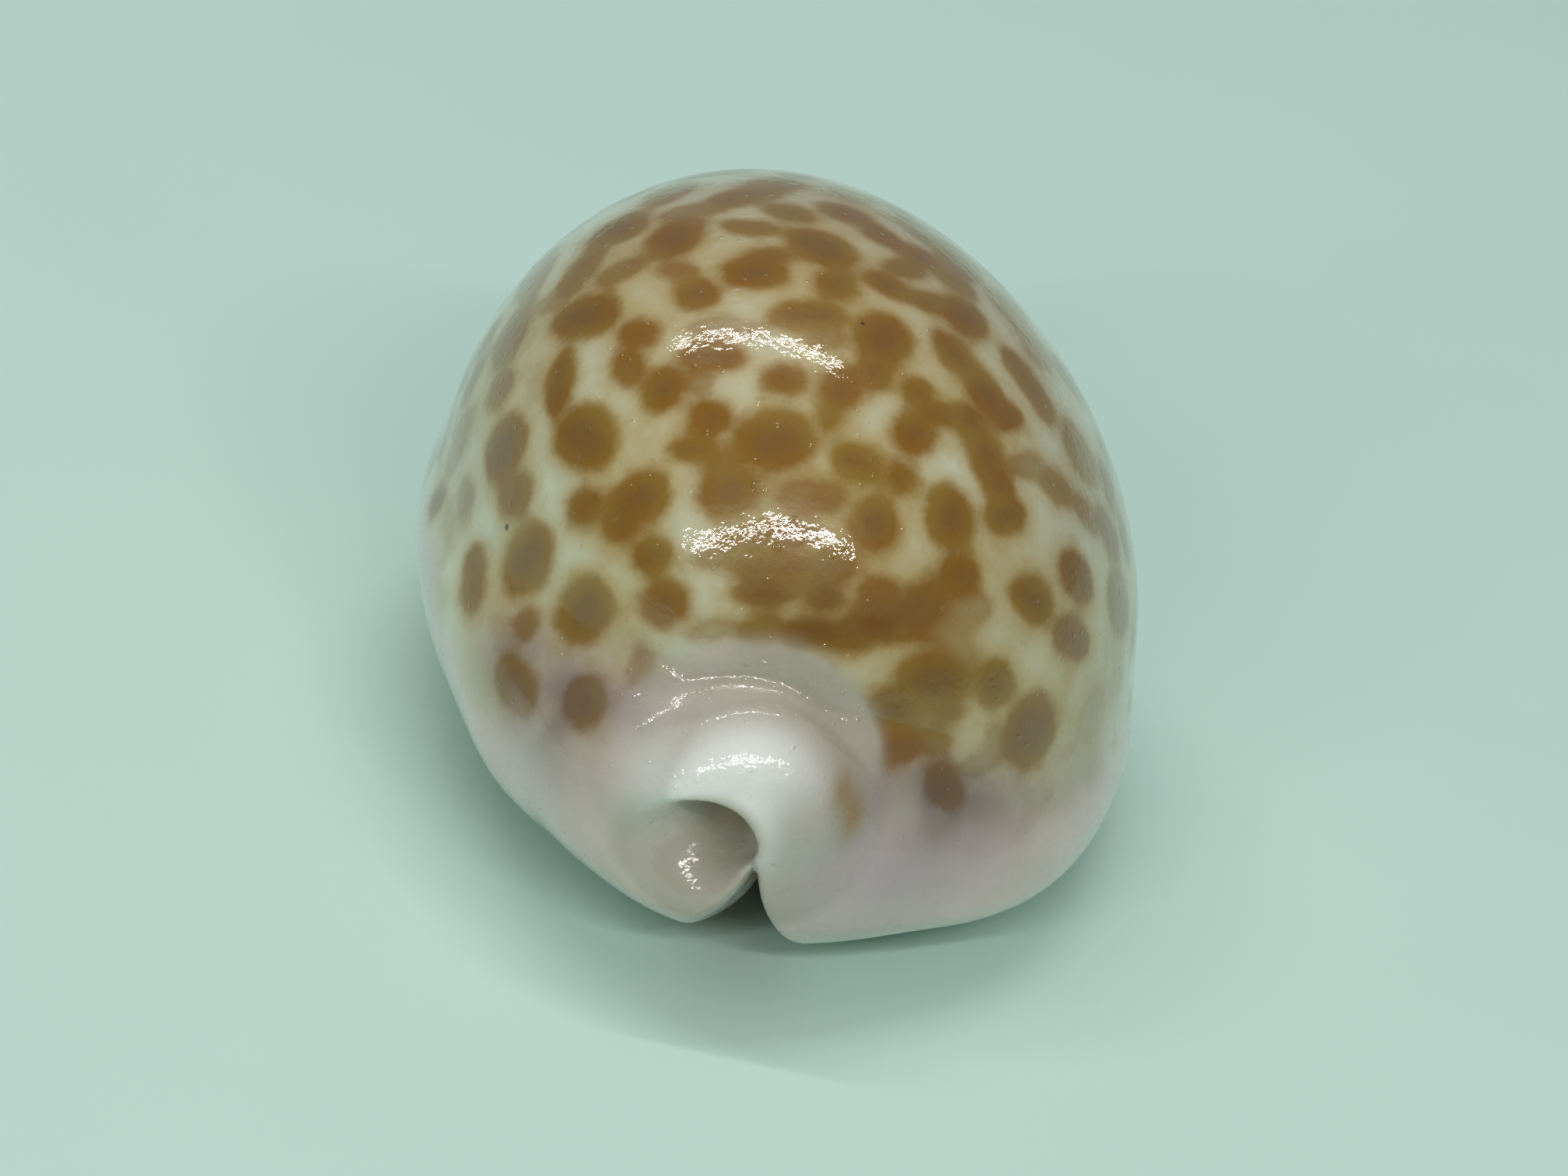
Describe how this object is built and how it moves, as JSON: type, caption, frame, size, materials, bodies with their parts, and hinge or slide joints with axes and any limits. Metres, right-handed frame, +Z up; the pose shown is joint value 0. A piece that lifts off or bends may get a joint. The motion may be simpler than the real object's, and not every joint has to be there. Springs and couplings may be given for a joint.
{
  "type": "cowrie shell",
  "caption": "Glossy cowrie shell, an egg-shaped dome with a flattened base, a long narrow toothed opening and a notch at each end, lying on its base.",
  "frame": {"origin": "middle of the shell's footprint, on the plane that it rests on", "axes": "+Z up through the domed back; +Y along the shell towards its front end, so the spire end is at -Y; +X towards the toothed outer lip"},
  "size_m": [0.0304, 0.0417, 0.0247],
  "materials": {
    "shell_glaze": "glossy ivory-white natural glaze with soft-edged orange-brown spots over the back"
  },
  "bodies": {
    "root": {"shell": "shell_glaze"}
  },
  "joints": []
}
